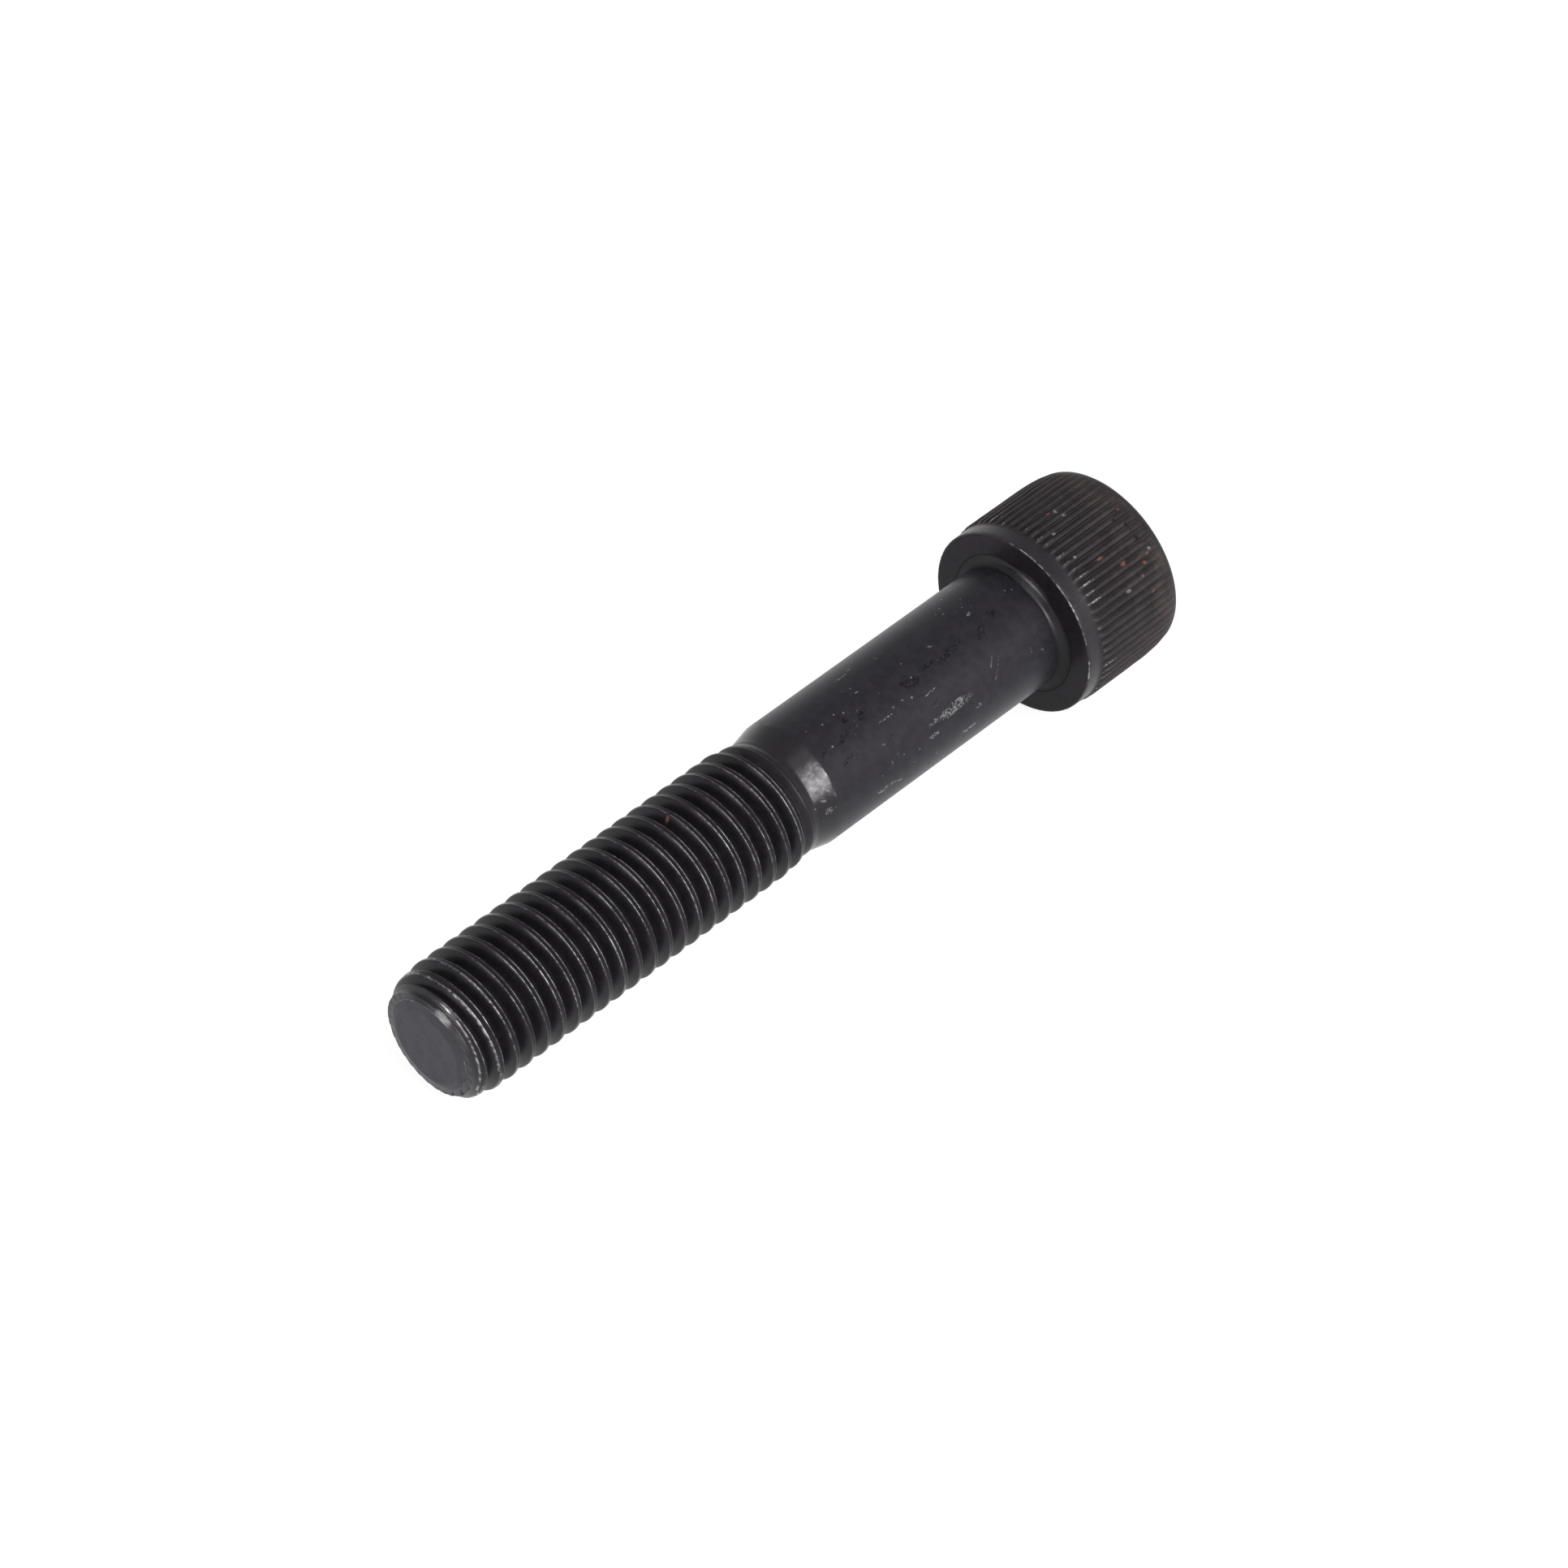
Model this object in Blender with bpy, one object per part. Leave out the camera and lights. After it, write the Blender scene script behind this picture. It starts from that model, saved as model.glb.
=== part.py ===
"""Hexagon socket head cap screw, M12 x 1.75 x 70, partly threaded: one forged and rolled piece.

Metres, +Z up. The screw lies along X. The origin is on its axis, in the plane of the bearing face
under the head. The socket opens towards +X, and the thread runs out to the tip at -X.
"""

import math

import bmesh
import bpy

MM = 0.001

# Shank and thread
LENGTH = 70 * MM  # bearing face to tip
PITCH = 1.75 * MM
CREST_RADIUS = 5.98 * MM
FLANK_ANGLE = math.radians(30)
SHANK_RADIUS = 5.97 * MM
SHANK_END = 28.0 * MM  # below the bearing face, where the neck's cone starts
NECK_RADIUS = 5.5 * MM  # the blank that the thread is rolled on
THREAD_END = 30.3 * MM  # below the bearing face, where the last turn has run out
RUNOUT = 2.9 * MM  # over this length the crests sink and the roots rise to the neck
FILLET_RADIUS = 0.8 * MM  # under the head

# Tip
TIP_FACE_RADIUS = 3.8 * MM
TIP_BEVEL_RADIUS = 4.35 * MM
TIP_BEVEL_LENGTH = 0.15 * MM
TIP_CHAMFER = math.radians(57)  # from the axis
LEAD_RADIUS = 5.54 * MM  # where the chamfer ends and the first crests begin
LEAD_TAPER = math.radians(12)

# Head
HEAD_HEIGHT = 12 * MM
RIM_BEVEL = 0.12 * MM
BAND_RADIUS = 8.95 * MM  # the plain band beside the bearing face
BAND_HEIGHT = 1.4 * MM
KNURL_RADIUS = 9.15 * MM  # over the ridges
KNURL_DEPTH = 0.18 * MM
KNURL_RUNOUT = 0.5 * MM
CROWN_START = 8.6 * MM  # above the bearing face, where the knurl starts to draw in
CROWN_RADIUS = 9.02 * MM
CROWN_MIDDLE = 10.4 * MM
KNURL_END = 11.2 * MM
TOP_EDGE_RADIUS = 8.85 * MM  # at the knurl's end, before the rounded top edge
TOP_FACE_RADIUS = 7.95 * MM

# Socket
SOCKET_ACROSS_FLATS = 10.08 * MM
SOCKET_DEPTH = 6.2 * MM
SOCKET_FLOOR_DROP = 1.0 * MM  # the shallow cone that the punch leaves
MOUTH_RADIUS = 6.05 * MM
MOUTH_DEPTH = 0.9 * MM
CUTTER_OVERHANG = 1.0 * MM

# Facets. The shank's circle is divided so that one pitch holds as many steps as one turn, and the
# head's circle has two points to each ridge of the knurl, a whole number of them to each shank side.
SIDES = 35
CREST_STEPS = 6
FLANK_STEPS = 12
RIDGES = 70
HEAD_SIDES = 2 * RIDGES
STEP = PITCH / SIDES
THREAD_PHASE_STEPS = 31  # from the tip's bevel to the crest, on the +Y side
FILLET_STEPS = 3
TOP_STEPS = 3
SHARP_ANGLE = math.radians(28)


def ring(mesh, x, radius, sides):
    """A circle of vertices about the X axis. A radius may be a list, which repeats round it."""
    radii = radius if isinstance(radius, (list, tuple)) else [radius]
    vertices = []
    for i in range(sides):
        angle = 2 * math.pi * i / sides
        r = radii[i % len(radii)]
        vertices.append(mesh.verts.new((x, r * math.cos(angle), r * math.sin(angle))))
    return vertices


def join_rings(mesh, near, far):
    """Faces from one ring to the next one towards +X, which has as many points or a multiple."""
    share = len(far) // len(near)
    for i, corner in enumerate(near):
        following = near[(i + 1) % len(near)]
        outer = [far[(share * i + k) % len(far)] for k in range(share + 1)]
        if share == 1:
            mesh.faces.new((corner, outer[0], outer[1], following))
            continue
        half = share // 2
        for k in range(share):
            mesh.faces.new((corner if k < half else following, outer[k], outer[k + 1]))
        mesh.faces.new((corner, outer[half], following))


def thread_radius(x, steps_from_crest):
    """The thread's radius where x is a place on the axis and the crest is that many steps away."""
    root_radius = CREST_RADIUS - FLANK_STEPS * STEP / math.tan(FLANK_ANGLE)
    off_crest = abs((steps_from_crest + SIDES / 2) % SIDES - SIDES / 2) - CREST_STEPS / 2
    down_flank = min(max(off_crest / FLANK_STEPS, 0), 1)
    radius = CREST_RADIUS + (root_radius - CREST_RADIUS) * down_flank
    full = min(max((-THREAD_END - x) / RUNOUT, 0), 1)
    radius = NECK_RADIUS + (radius - NECK_RADIUS) * full
    from_bevel = x + LENGTH - TIP_BEVEL_LENGTH
    chamfer = TIP_BEVEL_RADIUS + from_bevel * math.tan(TIP_CHAMFER)
    from_lead = from_bevel - (LEAD_RADIUS - TIP_BEVEL_RADIUS) / math.tan(TIP_CHAMFER)
    return min(radius, chamfer, LEAD_RADIUS + from_lead * math.tan(LEAD_TAPER))


def thread_rows(mesh):
    """Rows of vertices that each follow the helix for one turn, clamped between two plain rings.

    Row n + 4 goes on where row n ends, because each pitch has four rows: both edges of the crest
    and both edges of the root. Where a row would pass the ring at either end, it lies on the ring.
    """
    start = -LENGTH + TIP_BEVEL_LENGTH
    total_steps = round((-THREAD_END - start) / STEP)
    edges = (0, CREST_STEPS, CREST_STEPS + FLANK_STEPS, SIDES - FLANK_STEPS)
    first_crest = THREAD_PHASE_STEPS - CREST_STEPS / 2
    turns = range(-2, math.ceil(total_steps / SIDES) + 1)
    rows = []
    for turn in turns:
        for edge in edges:
            row = []
            for i in range(SIDES):
                steps = round(first_crest) + turn * SIDES + edge + i
                steps = min(max(steps, 0), total_steps)
                x = start + steps * STEP
                radius = thread_radius(x, steps - THREAD_PHASE_STEPS - i)
                angle = 2 * math.pi * i / SIDES
                place = (x, radius * math.cos(angle), radius * math.sin(angle))
                row.append(mesh.verts.new(place))
            rows.append(row)
    return rows


def thread(mesh):
    """The helical surface, from the tip's bevel to the neck. It returns the ring at each end."""
    rows = thread_rows(mesh)
    per_pitch = 4
    for n in range(len(rows) - 1 - per_pitch):
        for i in range(SIDES - 1):
            mesh.faces.new((rows[n][i], rows[n + 1][i], rows[n + 1][i + 1], rows[n][i + 1]))
        seam = (rows[n][-1], rows[n + 1][-1], rows[n + 1 + per_pitch][0], rows[n + per_pitch][0])
        mesh.faces.new(seam)
    return rows[0], rows[-1]


def material(name, colour, roughness, metallic):
    made = bpy.data.materials.new(name)
    made.use_nodes = True
    shader = made.node_tree.nodes["Principled BSDF"]
    shader.inputs["Base Color"].default_value = (*colour, 1)
    shader.inputs["Roughness"].default_value = roughness
    shader.inputs["Metallic"].default_value = metallic
    return made


def body(mesh):
    """The screw without its socket: every surface from the tip's face to the top of the head."""
    tip_face = ring(mesh, -LENGTH, TIP_FACE_RADIUS, SIDES)
    mesh.faces.new(tip_face)
    bevel, neck = thread(mesh)
    join_rings(mesh, tip_face, bevel)

    shank = [(-SHANK_END, SHANK_RADIUS)]
    for i in range(FILLET_STEPS + 1):
        angle = math.pi / 2 * i / FILLET_STEPS
        x = FILLET_RADIUS * (math.sin(angle) - 1)
        shank.append((x, SHANK_RADIUS + FILLET_RADIUS * (1 - math.cos(angle))))
    last = neck
    for x, radius in shank:
        following = ring(mesh, x, radius, SIDES)
        join_rings(mesh, last, following)
        last = following

    head = [
        (0, BAND_RADIUS - RIM_BEVEL),
        (RIM_BEVEL, BAND_RADIUS),
        (BAND_HEIGHT, BAND_RADIUS),
        (BAND_HEIGHT + KNURL_RUNOUT, [KNURL_RADIUS, KNURL_RADIUS - KNURL_DEPTH]),
        (CROWN_START, [KNURL_RADIUS, KNURL_RADIUS - KNURL_DEPTH]),
        (CROWN_MIDDLE, [CROWN_RADIUS, CROWN_RADIUS - KNURL_DEPTH / 2]),
    ]
    for i in range(TOP_STEPS + 1):
        angle = math.pi / 2 * i / TOP_STEPS
        x = KNURL_END + (HEAD_HEIGHT - KNURL_END) * math.sin(angle)
        head.append((x, TOP_FACE_RADIUS + (TOP_EDGE_RADIUS - TOP_FACE_RADIUS) * math.cos(angle)))
    for x, radius in head:
        following = ring(mesh, x, radius, HEAD_SIDES)
        join_rings(mesh, last, following)
        last = following
    mesh.faces.new(last)


def socket(mesh):
    """The cutter for the hexagon: a prism with a flat on its +Z side and a shallow cone below it."""
    corner = SOCKET_ACROSS_FLATS / 2 / math.cos(math.pi / 6)
    floor = HEAD_HEIGHT - SOCKET_DEPTH
    above = ring(mesh, HEAD_HEIGHT + CUTTER_OVERHANG, corner, 6)
    below = ring(mesh, floor, corner, 6)
    apex = mesh.verts.new((floor - SOCKET_FLOOR_DROP, 0, 0))
    join_rings(mesh, below, above)
    mesh.faces.new(above)
    for i, vertex in enumerate(below):
        mesh.faces.new((apex, vertex, below[(i + 1) % 6]))


def mouth(mesh):
    """The cutter for the socket's mouth: a cone at 45 degrees that breaks the hexagon's edges."""
    wide = ring(mesh, HEAD_HEIGHT + CUTTER_OVERHANG, MOUTH_RADIUS + CUTTER_OVERHANG, SIDES)
    narrow = ring(mesh, HEAD_HEIGHT - MOUTH_DEPTH, MOUTH_RADIUS - MOUTH_DEPTH, SIDES)
    join_rings(mesh, narrow, wide)
    mesh.faces.new(wide)
    mesh.faces.new(narrow)


def add_object(name, fill):
    """A new object whose mesh is made by the function fill, closed and with its faces outward."""
    shape = bmesh.new()
    fill(shape)
    bmesh.ops.remove_doubles(shape, verts=shape.verts, dist=0.0001 * MM)
    loose = [vertex for vertex in shape.verts if not vertex.link_faces]
    bmesh.ops.delete(shape, geom=loose, context="VERTS")
    bmesh.ops.recalc_face_normals(shape, faces=shape.faces)
    mesh = bpy.data.meshes.new(name)
    shape.to_mesh(mesh)
    shape.free()
    made = bpy.data.objects.new(name, mesh)
    bpy.context.scene.collection.objects.link(made)
    return made


def cut(target, cutter):
    cutter.hide_render = True
    cutter.display_type = "WIRE"
    modifier = target.modifiers.new(cutter.name, "BOOLEAN")
    modifier.operation = "DIFFERENCE"
    modifier.solver = "EXACT"
    modifier.object = cutter


def main():
    for old in list(bpy.data.objects):
        bpy.data.objects.remove(old)
    screw = add_object("cap_screw", body)
    screw.data.materials.append(material("black_oxide_steel", (0.035, 0.034, 0.036), 0.42, 0.6))
    screw.data.shade_smooth()
    screw.data.set_sharp_from_angle(angle=SHARP_ANGLE)
    cut(screw, add_object("socket_cutter", socket))
    cut(screw, add_object("mouth_cutter", mouth))


main()
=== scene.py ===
"""Looks for a black-oxide hexagon socket head cap screw, M12 x 1.75 x 70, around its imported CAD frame.

One closed, detailed mesh stands for the CAD node. The screw lies along X with its head at +X, and
phi is the angle about the axis from +Y towards +Z. Shapes are written in millimetres.
"""

import math

import bmesh
import bpy
from mathutils import Matrix, Vector, noise


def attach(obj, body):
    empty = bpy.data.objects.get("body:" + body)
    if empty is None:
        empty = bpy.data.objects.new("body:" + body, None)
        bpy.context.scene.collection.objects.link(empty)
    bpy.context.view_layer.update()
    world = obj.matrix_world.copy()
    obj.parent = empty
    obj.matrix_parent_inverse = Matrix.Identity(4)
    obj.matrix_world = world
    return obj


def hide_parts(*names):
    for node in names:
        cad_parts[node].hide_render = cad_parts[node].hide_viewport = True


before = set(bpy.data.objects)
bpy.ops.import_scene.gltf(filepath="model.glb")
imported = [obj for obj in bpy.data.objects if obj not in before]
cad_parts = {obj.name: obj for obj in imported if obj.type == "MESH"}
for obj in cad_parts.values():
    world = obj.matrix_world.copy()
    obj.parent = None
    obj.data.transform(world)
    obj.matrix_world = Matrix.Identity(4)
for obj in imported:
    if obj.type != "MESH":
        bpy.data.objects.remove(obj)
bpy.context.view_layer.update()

MM = 0.001

# Grid: one turn of the shank has SIDES steps, and the thread's rows shift by one step each time.
SIDES = 120
RIDGES = 70
HEAD_SIDES = 840  # 12 to a ridge of the knurl, 7 to a step of the shank

# Thread
PITCH = 1.75
STEP = PITCH / SIDES
TIP = -70.0
THREAD_START = -69.85
THREAD_END = -30.3
RUNOUT = 2.9
CREST_RADIUS = 5.98
ROOT_RADIUS = 4.94
NECK_RADIUS = 5.5
FLANK = math.radians(30)
CREST_AT_START = 107  # steps from THREAD_START to the first crest at phi = 0
CREST_EDGE = 15.5  # steps from the crest's middle to where the flanks would meet its top
SEAM_DEPTH = 0.13  # between the two lips that rolling leaves on the crest
BLEND = 0.022  # rounds the corners of the profile
STATIONS = (-60, -54, -46, -34, -23, -18, -15, -13, -11, -8, -4, 0, 4, 8, 11, 13, 15, 18, 23, 34, 46, 54)
TIP_STATIONS = sorted({*STATIONS, -50, -42, -38, -30, -27, 27, 30, 38, 42, 50})  # for the first turns

# Tip
FACE_RADIUS = 3.75
FACE_SHIFT = 0.33  # the face was sheared a little off centre
FACE_SHIFT_PHI = math.radians(304)
BEVEL_RADIUS = 4.35
CHAMFER = math.radians(57)
LEAD_RADIUS = 5.54
CHAMFER_END = -69.2
LEAD_TAPER = math.radians(12)
FACE_DISH = 0.02  # the face's middle lies that far in
EDGE_ROUND = 0.02  # and so does its edge

# First crests
BURR_ALONG = 0.59  # from THREAD_START to the burr
CREST_FROM, CREST_FULL = 0.62, 0.8  # from THREAD_START, where the crest gets its lips
LIP_AT = 14  # steps from the crest's middle to the middle of a lip
RAGGED_FROM, RAGGED_TO = -67.6, -65.0  # x, where the torn lips near the tip become even ones

# Shank and head
CONE_START = -30.1
CONE_RINGS = 8
SHANK_END = -28.0
SHANK_RADIUS = 5.97
SHANK_STEP = 0.6  # between the rings of the plain shank
FILLET = 0.8
FILLET_STEPS = 8
BAND_RADIUS = 8.95
BAND_END = 1.4
KNURL_RADIUS = 9.15
GROOVE_DEPTH = 0.15
RIDGE_PHASE = -0.09
TOP_EDGE_START, TOP_EDGE_RADIUS = 11.25, 8.86  # where the knurl ends and the rounded top edge begins
TOP_EDGE_STEPS = 6
HEAD_HEIGHT = 12.0
TOP_FACE_RADIUS = 7.95
SOCKET_FLAT = 5.04
SOCKET_DEPTH = 6.2
FLOOR_DROP = 1.0
MOUTH_RADIUS = 6.05
MOUTH_BREAK = 0.04  # the small break of the mouth's edge
MOUTH_SLOPE = math.tan(math.radians(45))

RIM = (  # x, radius and share of the wear, with its painted highlight
    (0.0, 8.82, 0.0), (0.012, 8.88, 0.6), (0.045, 8.92, 1.0), (0.10, 8.943, 0.7), (0.15, 8.95, 0.0),
)
KNURL = (  # x, radius over the ridges, depth of the grooves and share of the wear, with its painted glints
    (1.5, 8.96, 0.0, 0.0), (1.65, 9.0, 0.03, 0.5), (1.8, 9.06, 0.09, 0.9), (2.0, 9.12, 0.14, 1.0),
    (2.3, KNURL_RADIUS, 0.16, 0.9), (2.8, KNURL_RADIUS, GROOVE_DEPTH, 0.8),
    (3.5, KNURL_RADIUS, GROOVE_DEPTH, 0.45), (4.3, KNURL_RADIUS, 0.14, 0.15),
    (5.2, KNURL_RADIUS, 0.135, 0.0), (6.1, KNURL_RADIUS, 0.135, 0.0),
    (7.0, KNURL_RADIUS, 0.135, 0.0), (7.9, KNURL_RADIUS, 0.13, 0.0),
    (8.6, 9.145, 0.13, 0.0), (9.2, 9.125, 0.12, 0.0), (9.8, 9.09, 0.10, 0.0),
    (10.3, 9.04, 0.08, 0.0), (10.7, 8.975, 0.06, 0.0), (11.0, 8.915, 0.03, 0.0),
    (TOP_EDGE_START, TOP_EDGE_RADIUS, 0.01, 0.0),
)

# Finishes, in the order of the materials
FINISHES = (
    "tip_face", "thread", "cone", "shank", "band", "knurl", "top", "socket", "bearing_face", "fillet",
    "chamfer",
)

# Colours, and how bare the steel is in a mark
# Bare steel, also used for painted highlights
BARE_STEEL_AND_HIGHLIGHT = (0.40, 0.40, 0.40)
# Near-black, for real dirt and for painted shade
DIRT_AND_SHADE = (0.003, 0.003, 0.003)
PIT = (0.002, 0.002, 0.003)
DUST = (0.043, 0.034, 0.032)
RUST = (0.125, 0.054, 0.040)
SPECULAR_TINT = (1, 0.945, 1)
SCRAPE_BARE = 0.36
FLECK_BARE = 0.32
BARE_ROUGH = 0.28
DUSTY_ROUGH = 0.75  # in dust and in pits
DIRT_AND_SHADE_ROUGH = 0.8  # in dirt, in painted shade and on rust

# Marks: (x, phi in degrees, half length along X, half width round it, lean of the mark's own axis)
SHANK_SCRAPES = (
    (-13.7, 155.0, 2.8, 0.42, 0.0), (-12.6, 151.5, 1.2, 0.22, 0.1), (-16.2, 165.0, 0.6, 0.3, 0.0),
    (-10.7, 168.0, 0.4, 0.22, 0.0), (-20.1, 127.7, 0.9, 0.09, 0.0), (-14.9, 131.5, 0.9, 0.10, -0.1),
    (-7.4, 146.0, 0.5, 0.10, -1.3), (-8.0, 142.0, 0.4, 0.10, -1.3), (-6.6, 97.0, 0.3, 0.22, 0.0),
    (-22.4, 183.0, 1.2, 0.25, 0.0), (-12.0, 184.0, 1.2, 0.2, 0.0), (-19.8, 72.0, 0.9, 0.15, 0.0),
    (-15.0, 262.0, 2.6, 0.4, 0.1), (-22.0, 330.0, 1.6, 0.3, -0.1), (-6.0, 20.0, 0.8, 0.2, 0.6),
)
SHANK_FLECKS = (
    (-26.0, 120.9, 0.13, 0.11, 0.0), (-25.2, 101.0, 0.11, 0.09, 0.0), (-26.8, 97.6, 0.09, 0.08, 0.0),
    (-22.9, 103.5, 0.13, 0.11, 0.0), (-20.5, 95.2, 0.10, 0.09, 0.0), (-20.5, 88.8, 0.11, 0.08, 0.0),
    (-21.2, 86.2, 0.09, 0.08, 0.0), (-23.7, 99.8, 0.09, 0.08, 0.0), (-15.2, 97.6, 0.09, 0.08, 0.0),
    (-15.5, 112.7, 0.09, 0.09, 0.0), (-6.8, 97.6, 0.14, 0.10, 0.6), (-18.6, 69.1, 0.35, 0.08, 0.0),
    (-18.1, 168.0, 0.10, 0.09, 0.0), (-20.7, 185.3, 0.40, 0.10, 0.2), (-8.1, 154.6, 0.18, 0.06, -1.3),
)
CONE_SCRAPES = (
    (-29.2, 154.0, 0.35, 0.28, 0.5), (-29.0, 166.0, 0.45, 0.4, 0.0), (-28.5, 148.0, 0.2, 0.2, 0.0),
    (-29.0, 300.0, 0.4, 0.5, 0.0),
)
SHANK_PITS = (
    (-27.0, 121.0, 0.9, 0.22, -0.7), (-24.6, 120.3, 1.3, 0.40, -0.2), (-23.4, 110.6, 0.35, 0.5, 0.0),
    (-21.7, 113.4, 0.7, 0.35, -0.4), (-15.9, 115.5, 1.3, 0.60, 0.15), (-13.6, 112.5, 1.3, 0.30, 0.0),
    (-11.0, 113.5, 1.9, 0.45, -0.1), (-7.2, 116.0, 1.0, 0.5, -0.6), (-20.7, 143.2, 0.6, 0.10, -0.6),
    (-15.0, 141.0, 0.5, 0.10, -0.5), (-25.5, 137.0, 1.0, 0.25, -0.3), (-5.0, 108.0, 0.8, 0.5, 0.0),
    (-20.0, 250.0, 2.5, 0.5, 0.2), (-9.0, 290.0, 1.8, 0.5, -0.3), (-24.0, 15.0, 1.5, 0.5, 0.3),
)
KNURL_RUST = (
    (6.9, 134.3, 0.46, 0.26, 0.0), (5.2, 124.7, 0.46, 0.16, 0.0), (4.95, 85.0, 0.22, 0.14, 0.0),
    (9.0, 141.0, 0.22, 0.14, 0.0), (8.2, 146.5, 0.16, 0.12, 0.0), (9.7, 137.5, 0.16, 0.12, 0.0),
    (8.8, 158.0, 0.20, 0.12, 0.0), (10.1, 108.0, 0.14, 0.12, 0.0), (2.9, 62.0, 0.16, 0.12, 0.0),
    (7.6, 250.0, 0.4, 0.3, 0.0), (4.4, 350.0, 0.4, 0.2, 0.0),
)
KNURL_FLECKS = (
    (6.2, 149.3, 0.34, 0.18, 0.0), (3.5, 97.8, 0.28, 0.17, 0.0), (5.85, 92.3, 0.24, 0.20, 0.0),
    (5.65, 87.0, 0.19, 0.24, 0.0), (10.2, 136.0, 0.20, 0.18, 0.0), (3.2, 116.0, 0.19, 0.16, 0.0),
    (5.0, 230.0, 0.25, 0.14, 0.0), (8.1, 20.0, 0.2, 0.15, 0.0),
)
KNURL_PITS = (
    (9.6, 118.0, 0.30, 0.26, 0.0), (9.7, 122.0, 0.30, 0.22, 0.0), (9.6, 127.0, 0.28, 0.24, 0.0),
    (8.9, 112.0, 0.30, 0.20, 0.0), (9.4, 300.0, 0.4, 0.3, 0.0),
)
THREAD_RUST = (
    (-42.1, 85.5, 0.28, 0.22, 0.0), (-53.5, 119.0, 0.1, 0.1, 0.0), (-55.0, 240.0, 0.2, 0.15, 0.0),
)

# Studio
FLOOR_HALF = 4000
KNURL_REST = (1.9, 0, -9.2)  # the two places where the screw touches the table
CREST_REST = (-66.5, 0, -6.05)
LENS = 128.94
SENSOR_WIDTH = 36
CAMERA_PLACE = (-0.27243, -0.23590, 0.33239)
CAMERA_RIGHT = (0.69541, -0.71862, 0.0)
CAMERA_UP = (0.50253, 0.48630, 0.71482)
ROOM_TINT = (1, 0.988, 1)
WALL_LEVEL = 0.3
HORIZON_LEVEL = 0.15
SIDE_LAMP, SIDE_LAMP_CORE = 7.5, 6.0
HALO_LEVEL = 1.3
FRONT_LAMP = 8.0
CORNER_SHADE = 0.75


def smooth(low, high, value):
    """0 up to low, 1 from high on, and an even rise between them."""
    t = min(max((value - low) / (high - low), 0), 1)
    return t * t * (3 - 2 * t)


def bumps(x, phi, size, seed=0.0, radius=6.0):
    """Smooth noise from -1 to 1 on the screw's surface, with lumps of about that size."""
    place = (x / size, radius * math.cos(phi) / size + seed, radius * math.sin(phi) / size)
    return noise.noise(Vector(place))


def head_bumps(x, phi, size, seed):
    return bumps(x, phi, size, seed, radius=9.0)


def towards(phi, centre, reach):
    """1 at the angle centre, in degrees, falling to 0 at reach degrees from it."""
    off = abs((math.degrees(phi) - centre + 180) % 360 - 180)
    return 1 - smooth(0, reach, off)


def plateau(phi, centre, reach):
    """Like towards, but 1 over the middle part of its reach."""
    return min(1, 1.8 * towards(phi, centre, reach))


class Surface:
    """Vertices with their wear, which also carries painted highlights and painted shade, and faces with
    their finish, from rings about the X axis.
    """

    def __init__(self):
        self.mesh = bmesh.new()
        self.wear = self.mesh.verts.layers.float.new("wear")
        self.finish = "thread"

    def point(self, x, y, z, wear=0.0):
        vertex = self.mesh.verts.new((x * MM, y * MM, z * MM))
        vertex[self.wear] = wear
        return vertex

    def ring(self, x, radius, sides=SIDES, wear=0.0, centre=(0.0, 0.0)):
        """x, radius and wear (with its painted highlights and shade) are each a number or a function of the
        angle.
        """
        vertices = []
        for i in range(sides):
            phi = 2 * math.pi * i / sides
            at, r, worn_and_lit = (v(phi) if callable(v) else v for v in (x, radius, wear))
            y, z = centre[0] + r * math.cos(phi), centre[1] + r * math.sin(phi)
            vertices.append(self.point(at, y, z, worn_and_lit))
        return vertices

    def face(self, *vertices):
        self.mesh.faces.new(vertices).material_index = FINISHES.index(self.finish)

    def fan(self, middle, ring):
        """Faces from one point to a ring."""
        for i, vertex in enumerate(ring):
            self.face(middle, vertex, ring[(i + 1) % len(ring)])

    def join(self, near, far):
        """Faces between two rings. One has as many points as the other, or a multiple of it."""
        flip = len(near) > len(far)
        few, many = (far, near) if flip else (near, far)
        share = len(many) // len(few)
        for i, corner in enumerate(few):
            following = few[(i + 1) % len(few)]
            outer = [many[(share * i + k) % len(many)] for k in range(share + 1)]
            if share == 1:
                self.face(corner, outer[0], outer[1], following)
                continue
            half = share // 2
            for k in range(share):
                self.face(corner if k < half else following, outer[k], outer[k + 1])
            self.face(corner, outer[half], following)
        return far

    def extend(self, last, *shape, **more):
        """A new ring, joined to the last one."""
        return self.join(last, self.ring(*shape, **more))


# ---- the tip and the thread


def lead_radius(x):
    """The most that the thread's crests reach near the tip."""
    along = x - THREAD_START
    chamfer = BEVEL_RADIUS + along * math.tan(CHAMFER)
    lead = LEAD_RADIUS + (along - (LEAD_RADIUS - BEVEL_RADIUS) / math.tan(CHAMFER)) * math.tan(LEAD_TAPER)
    return min(chamfer, lead, CREST_RADIUS)


def soft_min(a, b, blend=BLEND):
    """The lesser of the two, with the corner where they cross rounded off."""
    return min(a, b) - blend * math.log(1 + math.exp(-abs(a - b) / blend))


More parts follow.
